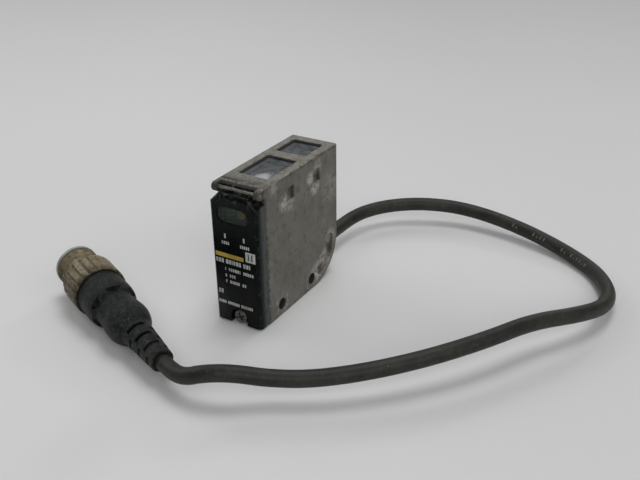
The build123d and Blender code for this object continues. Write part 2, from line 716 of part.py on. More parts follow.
BOARD_FRONT = -12.1
INDICATOR_BOARD_Z = 29.2
with BuildPart() as selector_switch:
    with BuildSketch(Plane.XZ.offset(-BOARD_FRONT)):
        with Locations((0, SELECTOR_Z)):
            Rectangle(4.8, 4.8)
            Circle(SELECTOR_STEM_R + 0.08, mode=Mode.SUBTRACT)
    extrude(amount=2.0)
selector_switch.part.label = "selector_switch"
export_step(selector_switch.part, "parts/selector_switch.step")

with BuildPart() as indicator_board:
    with BuildSketch(Plane.XZ.offset(-BOARD_FRONT)):
        with Locations((0, INDICATOR_BOARD_Z)):
            Rectangle(9.6, 15.6)
    extrude(amount=-BOARD_THICKNESS)
indicator_board.part.label = "indicator_board"
export_step(indicator_board.part, "parts/indicator_board.step")

with BuildPart() as indicator_leds:
    with BuildSketch(Plane.XZ.offset(-BOARD_FRONT)):
        with Locations(GREEN_AT, AMBER_AT):
            Rectangle(1.6, 0.8)
    extrude(amount=0.8)
indicator_leds.part.label = "indicator_leds"
export_step(indicator_leds.part, "parts/indicator_leds.step")

LIGHT_BACK = BOARD_FRONT - 1.1
for light_name, light_at in (("green_indicator", GREEN_AT), ("amber_indicator", AMBER_AT)):
    with BuildPart() as light:
        with BuildSketch(Plane.XZ.offset(-LIGHT_BACK)):
            with Locations(light_at):
                Circle(LIGHT_R)
        extrude(amount=LIGHT_BACK - LIGHT_FRONT)
        with BuildSketch(Plane.XZ.offset(-PANEL_BACK - 0.6)):
            with Locations(light_at):
                Circle(LIGHT_R + 0.4)
        extrude(amount=0.5)
        fillet(light.edges().group_by(Axis.Y)[0], radius=0.3)
    light.part.label = light_name
    export_step(light.part, "parts/" + light_name + ".step")


# ---------------------------------------------------------------- main board
BOARD_X = -4.0
BOARD_HEIGHT = 20.4
BOARD_Z = 20.8
with BuildPart() as main_board:
    with BuildSketch(Plane.YZ.offset(BOARD_X)):
        with Locations((4.5, BOARD_Z)):
            Rectangle(26.0, BOARD_HEIGHT)
    extrude(amount=-1.0)
main_board.part.label = "main_board"
export_step(main_board.part, "parts/main_board.step")

with BuildPart() as circuit_chips:
    # centre along Y and Z, then length and height
    for chip_y, chip_z, chip_length, chip_height in (
        (-3.0, 25.5, 5.0, 5.0),
        (4.2, 24.5, 3.0, 4.0),
        (12.0, 28.0, 4.0, 2.5),
        (13.0, 17.0, 5.0, 4.0),
        (9.6, 22.0, 1.6, 2.0),
    ):
        with BuildSketch(Plane.YZ.offset(BOARD_X)):
            with Locations((chip_y, chip_z)):
                Rectangle(chip_length, chip_height)
        extrude(amount=0.9)
circuit_chips.part.label = "circuit_chips"
export_step(circuit_chips.part, "parts/circuit_chips.step")

with BuildPart() as shield_plate:
    with BuildSketch(Plane.YZ.offset(5.2)):
        with Locations((2.35, BOARD_Z)):
            RectangleRounded(21.7, BOARD_HEIGHT, 1.0)
    extrude(amount=0.3)
shield_plate.part.label = "shield_plate"
export_step(shield_plate.part, "parts/shield_plate.step")


# ---------------------------------------------------------------- cable entry
with BuildPart() as cable_gland:
    with BuildSketch(Plane.XY):
        with BuildLine():
            Polyline(
                (CABLE_R + 0.03, ENTRY_FRONT),
                (GLAND_HOLE_R - 0.03, ENTRY_FRONT),
                (GLAND_HOLE_R - 0.03, ENTRY_BACK),
                (ENTRY_R - 0.1, ENTRY_BACK),
                (ENTRY_R - 0.1, 20.3),
                (3.2, 20.5),
                (3.2, 21.6),
                (2.75, 21.8),
                (2.75, 22.4),
                (3.05, 22.6),
                (3.05, 23.4),
                (2.65, 23.6),
                (2.65, 24.2),
                (2.9, 24.4),
                (2.8, GLAND_END),
                (CABLE_R + 0.03, GLAND_END),
                close=True,
            )
        make_face()
    revolve(axis=Axis.Y)
cable_gland_part = cable_gland.part.moved(Location((0, 0, CABLE_Z)))
cable_gland_part.label = "cable_gland"
export_step(cable_gland_part, "parts/cable_gland.step")

TAIL_START = 11.6
with BuildPart() as cable_tail:
    with BuildSketch(Plane.XZ.offset(-GLAND_END)):
        with Locations((0, CABLE_Z)):
            Circle(CABLE_R)
    extrude(amount=GLAND_END - TAIL_START)
cable_tail.part.label = "cable_tail"
export_step(cable_tail.part, "parts/cable_tail.step")

CLAMP_HEIGHT = 3.0
with BuildPart() as cable_clamp:
    with BuildSketch(Plane.XZ.offset(-CLAMP_POSTS_AT[0][1] - 1.2)):
        with Locations((0, CLAMP_BOTTOM)):
            Rectangle(11.0, CLAMP_HEIGHT, align=(Align.CENTER, Align.MIN))
        with Locations((0, CABLE_Z)):
            Circle(CABLE_R + 0.02, mode=Mode.SUBTRACT)
    extrude(amount=2.4)
    with BuildSketch(Plane.XY.offset(CLAMP_BOTTOM)):
        with Locations(*CLAMP_POSTS_AT):
            Circle(0.75)
    extrude(amount=CLAMP_HEIGHT, mode=Mode.SUBTRACT)
cable_clamp.part.label = "cable_clamp"
export_step(cable_clamp.part, "parts/cable_clamp.step")

with BuildPart() as clamp_screws:
    for clamp_screw_r, clamp_screw_reach in ((1.2, 0.8), (SMALL_SCREW_R, -5.6)):
        with BuildSketch(Plane.XY.offset(CLAMP_BOTTOM + CLAMP_HEIGHT)):
            with Locations(*CLAMP_POSTS_AT):
                Circle(clamp_screw_r)
        extrude(amount=clamp_screw_reach)
clamp_screws.part.label = "clamp_screws"
export_step(clamp_screws.part, "parts/clamp_screws.step")

with BuildPart() as core_wires:
    for wire in range(4):
        wire_x = -1.35 + 0.9 * wire
        wire_z = 11.0 + 0.95 * wire
        with BuildLine():
            wire_path = FilletPolyline(
                (wire_x, TAIL_START, CABLE_Z),
                (wire_x, 10.4, CABLE_Z),
                (wire_x, 10.4, wire_z),
                (BOARD_X, 10.4, wire_z),
                radius=0.8,
            )
        with BuildSketch(Plane(origin=wire_path @ 0, z_dir=wire_path % 0)):
            Circle(0.38)
        sweep(path=wire_path)
core_wires.part.label = "core_wires"
export_step(core_wires.part, "parts/core_wires.step")


# ---------------------------------------------------------------- cable
def corner_radii(points):
    """Radius of each corner's arc: as large as its two runs allow."""
    radii = []
    for before, corner, after in zip(points, points[1:], points[2:]):
        run_in = Vector(corner) - Vector(before)
        run_out = Vector(after) - Vector(corner)
        turn = radians(run_in.get_angle(run_out))
        radii.append(0.45 * min(run_in.length, run_out.length) / tan(turn / 2))
    return radii


with BuildPart() as cable:
    with BuildLine():
        cable_path = FilletPolyline(*CABLE_ROUTE, radius=corner_radii(CABLE_ROUTE))
    with BuildSketch(Plane(origin=CABLE_ROUTE[0], x_dir=(1, 0, 0), z_dir=(0, 1, 0))):
        Circle(CABLE_R)
    sweep(path=cable_path)
cable.part.label = "cable"
export_step(cable.part, "parts/cable.step")


# ---------------------------------------------------------------- connector
heading = radians(CONNECTOR_HEADING)
tilt = radians(CONNECTOR_TILT)
connector_direction = Vector(cos(tilt) * cos(heading), cos(tilt) * sin(heading), sin(tilt))
connector_axis = Axis(CONNECTOR_END, connector_direction)
sideways = Vector(-sin(heading), cos(heading), 0)
upwards = connector_direction.cross(sideways)


def profile_plane(roll):
    """Plane through the connector's axis: local X is outwards, local Y runs along the axis."""
    outwards = sideways * cos(radians(roll)) + upwards * sin(radians(roll))
    return Plane(origin=CONNECTOR_END, x_dir=outwards, z_dir=outwards.cross(connector_direction))


def cross_plane(station):
    """Plane across the connector's axis at a distance from the cable's end."""
    origin = Vector(CONNECTOR_END) + connector_direction * station
    return Plane(origin=origin, x_dir=sideways, z_dir=connector_direction)


# Overmoulding's outline: distance from the axis, then distance along it
RELIEF_OUTLINE = ((0, 0), (2.8, 0), (3.0, 0.2), (3.4, 6.0), (3.9, 14.0), (4.15, 15.0))
GRIP_OUTLINE = ((4.15, 15.0), (5.55, 17.4), (5.95, 19.8), (5.8, 22.0), (5.5, 25.0), (5.5, 27.2))
COLLAR_OUTLINE = ((5.5, 27.2), (6.4, 28.3), (6.65, 29.2), (6.75, 33.0), (6.7, 36.5))
SLOT_WIDTH = 1.1
SLOT_BOTTOM_R = 2.75
SLOT_ROLL = 32
SLOT_SWEEP = 80
SLOT_COLUMNS = ((4.2, 8.4, 12.5), (2.1, 6.2, 10.4))
FINGER_RECESSES = 6
FINGER_RECESS_R = 3.0

with BuildPart() as connector_body:
    with BuildSketch(profile_plane(0)):
        with BuildLine():
            Polyline(*RELIEF_OUTLINE)
            Spline(*GRIP_OUTLINE)
            Spline(*COLLAR_OUTLINE)
            Polyline(
                COLLAR_OUTLINE[-1],
                (NUT_RECESS_R - 0.35, BODY_FRONT),
                (CARRIER_R, BODY_FRONT),
                (CARRIER_R, CARRIER_POCKET),
                (0, CARRIER_POCKET),
                (0, 0),
            )
        make_face()
    revolve(axis=connector_axis)
    # four columns of slots let the strain relief bend; neighbours are staggered
    for column in range(4):
        for slot_station in SLOT_COLUMNS[column % 2]:
            with BuildSketch(profile_plane(SLOT_ROLL + 90 * column)):
                with Locations((SLOT_BOTTOM_R, slot_station)):
                    Rectangle(2.0, SLOT_WIDTH, align=(Align.MIN, Align.CENTER))
            revolve(axis=connector_axis, revolution_arc=SLOT_SWEEP, mode=Mode.SUBTRACT)
    # shallow finger recesses round the waist
    with BuildSketch(cross_plane(22.2)):
        with PolarLocations(5.2 + FINGER_RECESS_R, FINGER_RECESSES, start_angle=SLOT_ROLL):
            Circle(FINGER_RECESS_R)
    extrude(amount=6.2, mode=Mode.SUBTRACT)
connector_body.part.label = "connector_body"
export_step(connector_body.part, "parts/connector_body.step")

# a ring on the carrier holds the nut, which turns freely on it
with BuildPart() as contact_carrier:
    with BuildSketch(profile_plane(0)):
        with BuildLine():
            Polyline(
                (0, CARRIER_POCKET),
                (CARRIER_R, CARRIER_POCKET),
                (CARRIER_R, RETAINER[0]),
                (5.6, RETAINER[0]),
                (5.6, RETAINER[1]),
                (CARRIER_R, RETAINER[1]),
                (CARRIER_R, CARRIER_FACE - 3.0),
                (4.2, CARRIER_FACE - 2.4),
                (4.2, CARRIER_FACE),
                (0, CARRIER_FACE),
                close=True,
            )
        make_face()
    revolve(axis=connector_axis)
    with BuildSketch(cross_plane(CARRIER_FACE)):
        with PolarLocations(PIN_CIRCLE_R, 4, start_angle=45):
            Circle(PIN_R + 0.01)
    extrude(amount=-6.0, mode=Mode.SUBTRACT)
contact_carrier.part.label = "contact_carrier"
export_step(contact_carrier.part, "parts/contact_carrier.step")

with BuildPart() as contact_pins:
    with BuildSketch(cross_plane(CARRIER_FACE - 6.0)):
        with PolarLocations(PIN_CIRCLE_R, 4, start_angle=45):
            Circle(PIN_R)
    extrude(amount=13.0)
contact_pins.part.label = "contact_pins"
export_step(contact_pins.part, "parts/contact_pins.step")

thread_outline = []
for turn in range(THREAD_TURNS):
    crest = COLLAR_FRONT + 0.4 + THREAD_PITCH * turn
    thread_outline.append((THREAD_R, crest))
    thread_outline.append((THREAD_R - THREAD_DEPTH, crest + THREAD_PITCH / 2))

nut_bore_r = CARRIER_R + 0.15
with BuildPart() as coupling_nut:
    with BuildSketch(profile_plane(0)):
        with BuildLine():
            Polyline(
                (nut_bore_r, NUT_BACK + NUT_RECESS_DEPTH),
                (NUT_RECESS_R, NUT_BACK + NUT_RECESS_DEPTH),
                (NUT_RECESS_R, NUT_BACK),
                (GRIP_R - 0.2, NUT_BACK),
                (GRIP_R, NUT_BACK + 0.3),
                (GRIP_R, GRIP_FRONT - 0.3),
                (GRIP_R - 0.3, GRIP_FRONT),
                (COLLAR_R + 0.2, GRIP_FRONT),
                (COLLAR_R, COLLAR_FRONT - 0.2),
                (COLLAR_R - 0.3, COLLAR_FRONT),
                *thread_outline,
                (THREAD_R - THREAD_DEPTH, NUT_FRONT),
                (BARREL_BORE_R, NUT_FRONT),
                (BARREL_BORE_R, GRIP_FRONT + 0.1),
                (nut_bore_r, GRIP_FRONT - 0.6),
                (nut_bore_r, RETAINER[1] + 0.2),
                (5.8, RETAINER[1] + 0.2),
                (5.8, RETAINER[0] - 0.2),
                (nut_bore_r, RETAINER[0] - 0.2),
                close=True,
            )
        make_face()
    revolve(axis=connector_axis)
    with BuildSketch(cross_plane(NUT_BACK - 0.5)):
        with PolarLocations(GRIP_R + 0.1, GRIP_GROOVES):
            Circle(GRIP_GROOVE_R)
    extrude(amount=GRIP_FRONT - NUT_BACK + 1.0, mode=Mode.SUBTRACT)
coupling_nut.part.label = "coupling_nut"
export_step(coupling_nut.part, "parts/coupling_nut.step")

with BuildPart() as end_ring:
    with BuildSketch(profile_plane(0)):
        with BuildLine():
            Polyline(
                (THREAD_R - THREAD_DEPTH + 0.05, NUT_FRONT - 0.7),
                (THREAD_R, NUT_FRONT - 0.7),
                (THREAD_R + 0.05, NUT_FRONT + 0.5),
                (THREAD_R - 0.25, NUT_FRONT + 0.8),
                (CARRIER_R, NUT_FRONT + 0.8),
                (CARRIER_R, NUT_FRONT),
                (THREAD_R - THREAD_DEPTH + 0.05, NUT_FRONT),
                close=True,
            )
        make_face()
    revolve(axis=connector_axis)
end_ring.part.label = "end_ring"
export_step(end_ring.part, "parts/end_ring.step")
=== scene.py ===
import json
import math

import bpy
from mathutils import Matrix, Vector


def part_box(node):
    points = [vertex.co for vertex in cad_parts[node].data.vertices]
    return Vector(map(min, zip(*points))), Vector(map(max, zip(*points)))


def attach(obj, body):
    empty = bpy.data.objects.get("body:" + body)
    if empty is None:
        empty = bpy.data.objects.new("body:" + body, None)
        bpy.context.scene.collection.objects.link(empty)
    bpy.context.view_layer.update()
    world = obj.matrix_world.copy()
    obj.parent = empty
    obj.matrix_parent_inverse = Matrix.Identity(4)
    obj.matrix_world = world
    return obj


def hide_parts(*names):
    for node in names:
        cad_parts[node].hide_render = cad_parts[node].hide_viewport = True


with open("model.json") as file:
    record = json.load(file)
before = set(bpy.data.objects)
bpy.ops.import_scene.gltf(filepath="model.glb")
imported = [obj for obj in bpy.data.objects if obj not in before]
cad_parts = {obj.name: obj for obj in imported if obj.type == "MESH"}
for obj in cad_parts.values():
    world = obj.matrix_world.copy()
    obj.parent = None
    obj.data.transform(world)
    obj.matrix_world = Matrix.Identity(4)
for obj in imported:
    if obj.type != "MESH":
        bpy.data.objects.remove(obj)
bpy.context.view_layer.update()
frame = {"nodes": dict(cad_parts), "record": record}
scene = bpy.context.scene

MM = 0.001


# ------------------------------------------------------------------ sizes (mm)
# From the frame where a node's box gives them, and otherwise as in the part's source
housing_high = Vector(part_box("housing")[1]) / MM
cover_low, cover_high = (Vector(corner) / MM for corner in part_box("front_cover"))
FRONT = cover_low.y
SIDE = housing_high.x
HEIGHT = housing_high.z
COVER_SIDE = cover_high.x
SEAM = -15.94
COVER_TOP = 38.0
COVER_ROUND = 1.2
CORNER_Y = 7.6
CORNER_R = 12.6
MOUNT_HOLES_Y = (-10.0, 5.5)
MOUNT_HOLE_Z = 3.5
MOUNT_HOLE_R = 1.6
WINDOW_WIDTH = 9.6
# Where each top window's middle is along Y, and its length
WINDOWS = ((-3.45, 14.1), (12.1, 9.8))
# Where the painted highlight on the receiver's lens is centred, in X and Y
HIGHLIGHT_PATCH_AT = (-2.3, -4.6)

# Connector's axis: from the end of the strain relief towards the threaded barrel
CONNECTOR_END = Vector((-1.2, -49.6, 6.1))
CONNECTOR_HEADING = math.radians(156.4)
CONNECTOR_TILT = math.radians(2.0)
CONNECTOR_AXIS = Vector((
    math.cos(CONNECTOR_TILT) * math.cos(CONNECTOR_HEADING),
    math.cos(CONNECTOR_TILT) * math.sin(CONNECTOR_HEADING),
    math.sin(CONNECTOR_TILT),
))

# Stations along that axis, and radii
NUT_BACK = 36.9
GRIP_FRONT = 45.6
GRIP_R = 7.4
THREAD_R = 6.0
NUT_FRONT = 53.8


# ------------------------------------------------------------------ camera
CAMERA_AT = Vector((116.56, -170.98, 125.51)) * MM
CAMERA_YAW = math.radians(31.07)
CAMERA_PITCH = math.radians(27.83)
CAMERA_ROLL = math.radians(-0.74)
CAMERA_LENS = 47.13

camera = bpy.data.objects.new("camera", bpy.data.cameras.new("camera"))
scene.collection.objects.link(camera)
ahead = Vector((
    -math.sin(CAMERA_YAW) * math.cos(CAMERA_PITCH),
    math.cos(CAMERA_YAW) * math.cos(CAMERA_PITCH),
    -math.sin(CAMERA_PITCH),
))
level_right = Vector((math.cos(CAMERA_YAW), math.sin(CAMERA_YAW), 0))
level_up = level_right.cross(ahead)
right = level_right * math.cos(CAMERA_ROLL) + level_up * math.sin(CAMERA_ROLL)
up = level_up * math.cos(CAMERA_ROLL) - level_right * math.sin(CAMERA_ROLL)
camera.matrix_world = Matrix.Translation(CAMERA_AT) @ Matrix((right, up, -ahead)).transposed().to_4x4()
camera.data.lens = CAMERA_LENS
camera.data.sensor_width = 36
camera.data.clip_start = 0.01
camera.data.clip_end = 10
scene.camera = camera


# ------------------------------------------------------------------ materials: helpers
def srgb(red, green, blue, alpha=1.0):
    """A colour given as it looks, 0 to 255, as the linear values that shaders take."""
    def linear(value):
        value /= 255
        return value / 12.92 if value <= 0.04045 else ((value + 0.055) / 1.055) ** 2.4
    return (linear(red), linear(green), linear(blue), alpha)


class Field:
    """A number that varies over a surface, so that a mask is written as arithmetic."""

    def __init__(self, paint, socket):
        self.paint = paint
        self.socket = socket

    def math(self, operation, *others):
        node = self.paint.node("ShaderNodeMath")
        node.operation = operation
        for index, value in enumerate((self, *others)):
            self.paint.feed(value, node.inputs[index])
        return Field(self.paint, node.outputs[0])

    def __add__(self, other):
        return self.math("ADD", other)

    def __radd__(self, other):
        return self.math("ADD", other)

    def __sub__(self, other):
        return self.math("SUBTRACT", other)

    def __rsub__(self, other):
        return -self + other

    def __mul__(self, other):
        return self.math("MULTIPLY", other)

    def __abs__(self):
        return self.math("ABSOLUTE")

    def __neg__(self):
        return self * -1

    def least(self, other):
        return self.math("MINIMUM", other)

    def most(self, other):
        return self.math("MAXIMUM", other)

    def root(self):
        return self.math("SQRT")

    def step(self, start, end):
        """0 at start, 1 at end, smooth between. start may be the larger."""
        node = self.paint.node("ShaderNodeMapRange")
        node.interpolation_type = "SMOOTHSTEP"
        node.clamp = True
        self.paint.feed(self, node.inputs["Value"])
        rising = start < end
        node.inputs["From Min"].default_value = min(start, end)
        node.inputs["From Max"].default_value = max(start, end)
        node.inputs["To Min"].default_value = 0.0 if rising else 1.0
        node.inputs["To Max"].default_value = 1.0 if rising else 0.0
        return Field(self.paint, node.outputs[0])


class Paint:
    """One material and the nodes that vary it. Lengths are in millimetres."""

    def __init__(self, name, **surface):
        self.material = bpy.data.materials.new(name)
        self.material.use_nodes = True
        self.tree = self.material.node_tree
        self.shader = self.tree.nodes["Principled BSDF"]
        self.set(**surface)
        coordinates = self.node("ShaderNodeTexCoord")
        self.place = self.node("ShaderNodeVectorMath")
        self.place.operation = "SCALE"
        self.place.inputs["Scale"].default_value = 1 / MM
        self.tree.links.new(coordinates.outputs["Object"], self.place.inputs[0])
        self.heights = None

    def node(self, kind):
        return self.tree.nodes.new(kind)

    def feed(self, value, socket):
        if isinstance(value, Field):
            self.tree.links.new(value.socket, socket)
        elif isinstance(value, bpy.types.NodeSocket):
            self.tree.links.new(value, socket)
        else:
            socket.default_value = value

    def set(self, **surface):
        """Sets or links the shader's sockets: base_color=..., roughness=..., coat_weight=..."""
        names = {"ior": "IOR", "specular_ior_level": "Specular IOR Level"}
        for name, value in surface.items():
            self.feed(value, self.shader.inputs[names.get(name, name.replace("_", " ").title())])

    def axes(self):
        """The place on the surface: X, Y and Z fields."""
        node = self.node("ShaderNodeSeparateXYZ")
        self.tree.links.new(self.place.outputs[0], node.inputs[0])
        return [Field(self, output) for output in node.outputs]

    def noise(self, size, detail=3.0, rough=0.55, stretch=(1, 1, 1), shift=0.0, warp=0.0):
        """Cloudy noise, 0 to 1, whose blobs are about size across; stretch lengthens them per axis."""
        mapping = self.node("ShaderNodeMapping")
        self.tree.links.new(self.place.outputs[0], mapping.inputs["Vector"])
        mapping.inputs["Scale"].default_value = [1 / (size * axis) for axis in stretch]
        mapping.inputs["Location"].default_value = (shift, shift * 0.7, shift * 1.3)
        node = self.node("ShaderNodeTexNoise")
        node.inputs["Scale"].default_value = 1.0
        node.inputs["Detail"].default_value = detail
        node.inputs["Roughness"].default_value = rough
        node.inputs["Distortion"].default_value = warp
        self.tree.links.new(mapping.outputs[0], node.inputs["Vector"])
        return Field(self, node.outputs["Fac"])

    def cells(self, size, shift=0.0):
        """Distance from the centre of randomly placed specks, 0 at a centre, in units of size."""
        mapping = self.node("ShaderNodeMapping")
        self.tree.links.new(self.place.outputs[0], mapping.inputs["Vector"])
        mapping.inputs["Scale"].default_value = [1 / size] * 3
        mapping.inputs["Location"].default_value = (shift, shift, shift)
        node = self.node("ShaderNodeTexVoronoi")
        node.inputs["Scale"].default_value = 1.0
        self.tree.links.new(mapping.outputs[0], node.inputs["Vector"])
        return Field(self, node.outputs["Distance"])

    def mix(self, factor, first, second):
        """first where factor is 0, second where it is 1. Each is a colour or a colour socket."""
        node = self.node("ShaderNodeMix")
        node.data_type = "RGBA"
        self.feed(factor, node.inputs["Factor"])
        self.feed(first, node.inputs[6])
        self.feed(second, node.inputs[7])
        return node.outputs[2]

    def bump(self, height, depth):
        """Raises the surface by depth (mm) where height is 1."""
        node = self.node("ShaderNodeBump")
        node.inputs["Distance"].default_value = depth * MM
        node.inputs["Strength"].default_value = 1.0
        self.feed(height, node.inputs["Height"])
        if self.heights:
            self.tree.links.new(self.heights, node.inputs["Normal"])
        self.heights = node.outputs["Normal"]
        self.tree.links.new(self.heights, self.shader.inputs["Normal"])
        return self


def ring(first, second, centre, radius):
    """Distance outside a circle drawn in the plane of two fields."""
    across = first - centre[0]
    along = second - centre[1]
    return (across * across + along * along).root() - radius


# ------------------------------------------------------------------ materials: the sensor
# Pale scuffs on the housing's sides: Y and Z of the middle, reach, strength
SCUFFS = (
    (6.0, 34.4, 3.0, 1.0),
    (8.0, 31.2, 3.2, 0.9),
    (9.5, 36.8, 3.4, 0.55),
    (-7.4, 32.6, 3.2, 0.9),
    (-4.6, 31.4, 3.2, 0.5),
    (8.6, 4.4, 4.4, 1.0),
    (13.0, 6.6, 4.6, 1.0),
    (16.2, 12.0, 4.0, 0.7),
    (16.4, 28.0, 7.0, 0.35),
    (-12.0, 38.6, 3.0, 0.5),
)


def housing_paint():
    """Taupe paint on a die casting: grimy edges, painted shade in the groove and the bores, a painted
    highlight on the top, scuffed white round the pockets.
    """
    paint = Paint("housing_paint", specular_ior_level=0.4)
    x, y, z = paint.axes()
    side = SIDE - abs(x)
    top = HEIGHT - z
    behind = (y - CORNER_Y).most(0)
    below = (CORNER_R - z).most(0)
    outline = CORNER_R - (behind * behind + below * below).root()
    seam = abs(y - SEAM)
    on_side = side.step(0.3, 0.1)
    on_top = top.step(0.3, 0.05)
    on_lugs = y.step(SEAM + 0.6, SEAM - 0.2)
    edge = (side + top.least(seam).least(outline)).least(top + seam.least(outline))
    for window_y, window_length in WINDOWS:
        beside = (abs(x) - WINDOW_WIDTH / 2).most(abs(y - window_y) - window_length / 2)
        edge = edge.least(beside.most(0) + top * 1.5)

    grain = paint.noise(0.35, detail=2.0)
    clouds = paint.noise(9.0, detail=4.0, shift=3.0)
    patches = paint.noise(2.4, detail=5.0, rough=0.65, shift=11.0)
    rub = paint.noise(1.1, detail=5.0, rough=0.72, shift=5.0)
    grime = paint.noise(1.8, detail=5.0, rough=0.7, shift=21.0)
    streaks = paint.noise(0.5, detail=3.0, stretch=(1, 5, 0.7), shift=8.0, warp=0.4)
    smoke = paint.noise(4.5, detail=5.0, rough=0.6, shift=31.0)

    colour = paint.mix(clouds.step(0.32, 0.68), srgb(94, 92, 84), srgb(108, 107, 100))
    colour = paint.mix(grain.step(0.35, 0.75) * 0.25, colour, srgb(142, 139, 130))
    colour = paint.mix(smoke.step(0.52, 0.7) * 0.5, colour, srgb(124, 125, 119))
    colour = paint.mix(patches.step(0.52, 0.66) * 0.55, colour, srgb(74, 72, 64))
    # The top is painted lighter: a painted highlight, as the light from above falls on it.
    colour = paint.mix(on_top * 0.45, colour, srgb(136, 130, 118))
    colour = paint.mix(on_lugs * 0.6, colour, srgb(66, 62, 53))

    # grime gathers by the hinge and along the edges; the groove and the bores get painted shade
    by_hinge = top.step(1.4, 1.0) * y.step(SEAM + 6.0, SEAM + 4.4) * side.step(0.0, 0.4)
    colour = paint.mix(by_hinge * (0.3 + grime * 0.8), colour, srgb(54, 50, 41))
    # Painted shade: the inside of the groove on the sides is painted darker, broken up by the grime noise.
    shaded_recess = side.step(0.25, 0.6) * side.step(1.5, 1.3) * top.step(0.6, 1.0) * outline.step(0.4, 0.7)
    colour = paint.mix(shaded_recess * seam.step(0.5, 0.9) * grime.step(0.2, 0.5) * 0.75, colour, srgb(66, 56, 46))
    colour = paint.mix(edge.step(1.1, 0.3) * grime.step(0.42, 0.58) * 0.75, colour, srgb(52, 47, 38))
    colour = paint.mix(grime.step(0.58, 0.7) * 0.45, colour, srgb(62, 59, 51))
    # Painted shade: the bores of the mounting holes are painted dark inside.
    front_bore, rear_bore = (
        ring(y, z, (hole_y, MOUNT_HOLE_Z), MOUNT_HOLE_R).step(0.16, 0.04) for hole_y in MOUNT_HOLES_Y
    )
    shaded_bores = front_bore.most(rear_bore)
    colour = paint.mix(shaded_bores * 0.85, colour, srgb(42, 39, 33))

    # pale scuffs where the sensor has been clamped and rubbed, with bare metal on worn edges
    scuff = on_top * (patches.step(0.42, 0.62) * 0.25).most(edge.step(0.9, 0.3) * rub.step(0.5, 0.6) * 0.6)
    for spot_y, spot_z, reach, strength in SCUFFS:
        near = ring(y, z, (spot_y, spot_z), 0).step(reach, reach * 0.25)
        scuff = scuff.most(near * rub.step(0.38, 0.54) * strength)
    for hole_y in MOUNT_HOLES_Y:
        washer = abs(ring(y, z, (hole_y, MOUNT_HOLE_Z), MOUNT_HOLE_R + 0.9))
        scuff = scuff.most(washer.step(1.2, 0.4) * rub.step(0.45, 0.66) * 0.55 * on_side)
    scuff = scuff.most(streaks.step(0.66, 0.74) * 0.35)
    colour = paint.mix(scuff * (1 - shaded_bores) * 0.85, colour, srgb(184, 183, 176))

    worn = (edge + (rub - 0.5) * 2.2).step(0.2, -0.15) * (1 - on_lugs * 0.7)
    colour = paint.mix(worn * 0.7, colour, srgb(168, 165, 156))
    paint.set(base_color=colour, metallic=worn * 0.4, roughness=(0.55 + grain * 0.16) - worn * 0.14)
    paint.bump(grain, 0.03).bump(rub, 0.06).bump(scuff, 0.03)
    return paint.material


def cover_plastic():
    """Black moulding with a slight blue-green cast: satin front, dust specks, rubbed corners, a painted
    highlight on the sides by the seam and a painted sheen low on the left of the front.
    """
    paint = Paint("cover_plastic", specular_ior_level=0.12)
    x, y, z = paint.axes()
    texture = paint.noise(0.25, detail=2.0)
    smears = paint.noise(3.0, detail=4.0, rough=0.6, stretch=(1, 1, 2.2), shift=2.0)
    rub = paint.noise(0.9, detail=5.0, rough=0.72, shift=6.0)
    colour = paint.mix(smears.step(0.35, 0.7), srgb(5, 7, 7), srgb(13, 18, 18))
    specks = paint.cells(1.2, shift=4.0).step(0.14, 0.06) * rub.step(0.48, 0.62)
    colour = paint.mix(specks * 0.5, colour, srgb(128, 132, 128))
    corner = (COVER_SIDE - abs(x)) + (y - FRONT) * 0.8
    # Painted highlight: a bright band on the cover's sides just in front of the seam, as the rounded side
    # reflects the light.
    flank_highlight = abs(x).step(COVER_SIDE - 0.4, COVER_SIDE - 0.1) * y.step(SEAM - 2.8, SEAM - 1.4)
    colour = paint.mix(flank_highlight * (0.4 + smears * 0.6), colour, srgb(80, 86, 85))
    # Painted sheen: the lower left of the front is painted lighter and bluer, as its satin surface
    # reflects.
    hazy_sheen = x.step(1.0, -6.5) * z.step(22.0, 6.0) * smears.step(0.3, 0.55)
    colour = paint.mix(hazy_sheen * 0.45, colour, srgb(46, 52, 52))
    chipped = corner.step(1.1, 0.3) * rub.step(0.52, 0.66)
    colour = paint.mix(chipped * 0.3, colour, srgb(104, 112, 110))
    brim = z.step(COVER_TOP - 3.4, COVER_TOP - 0.6) * rub.step(0.52, 0.64)
    colour = paint.mix(brim * 0.45, colour, srgb(104, 108, 104))
    paint.set(base_color=colour, roughness=0.2 + smears * 0.18)
    paint.bump(texture, 0.006).bump(rub, 0.02)
    return paint.material


def smoked_window():
    """Smoked plastic: dark, but the two lights behind it show through."""
    paint = Paint("smoke_glass", specular_ior_level=0.45, alpha=0.6)
    haze = paint.noise(1.6, detail=4.0)
    colour = paint.mix(haze.step(0.35, 0.7), srgb(16, 25, 20), srgb(34, 46, 38))
    paint.set(base_color=colour, roughness=0.1 + haze * 0.14)
    return paint.material


def optic_glass():
    """Clear optical plastic, faintly blue, with a film of dust."""
    paint = Paint("optic_glass", specular_ior_level=0.5)
    film = paint.noise(2.2, detail=5.0, rough=0.65, shift=7.0)
    colour = paint.mix(film.step(0.3, 0.7), srgb(150, 156, 160), srgb(186, 190, 192))
    paint.set(base_color=colour, roughness=0.06 + film * 0.08, alpha=0.17 + film.step(0.35, 0.75) * 0.12)
    return paint.material


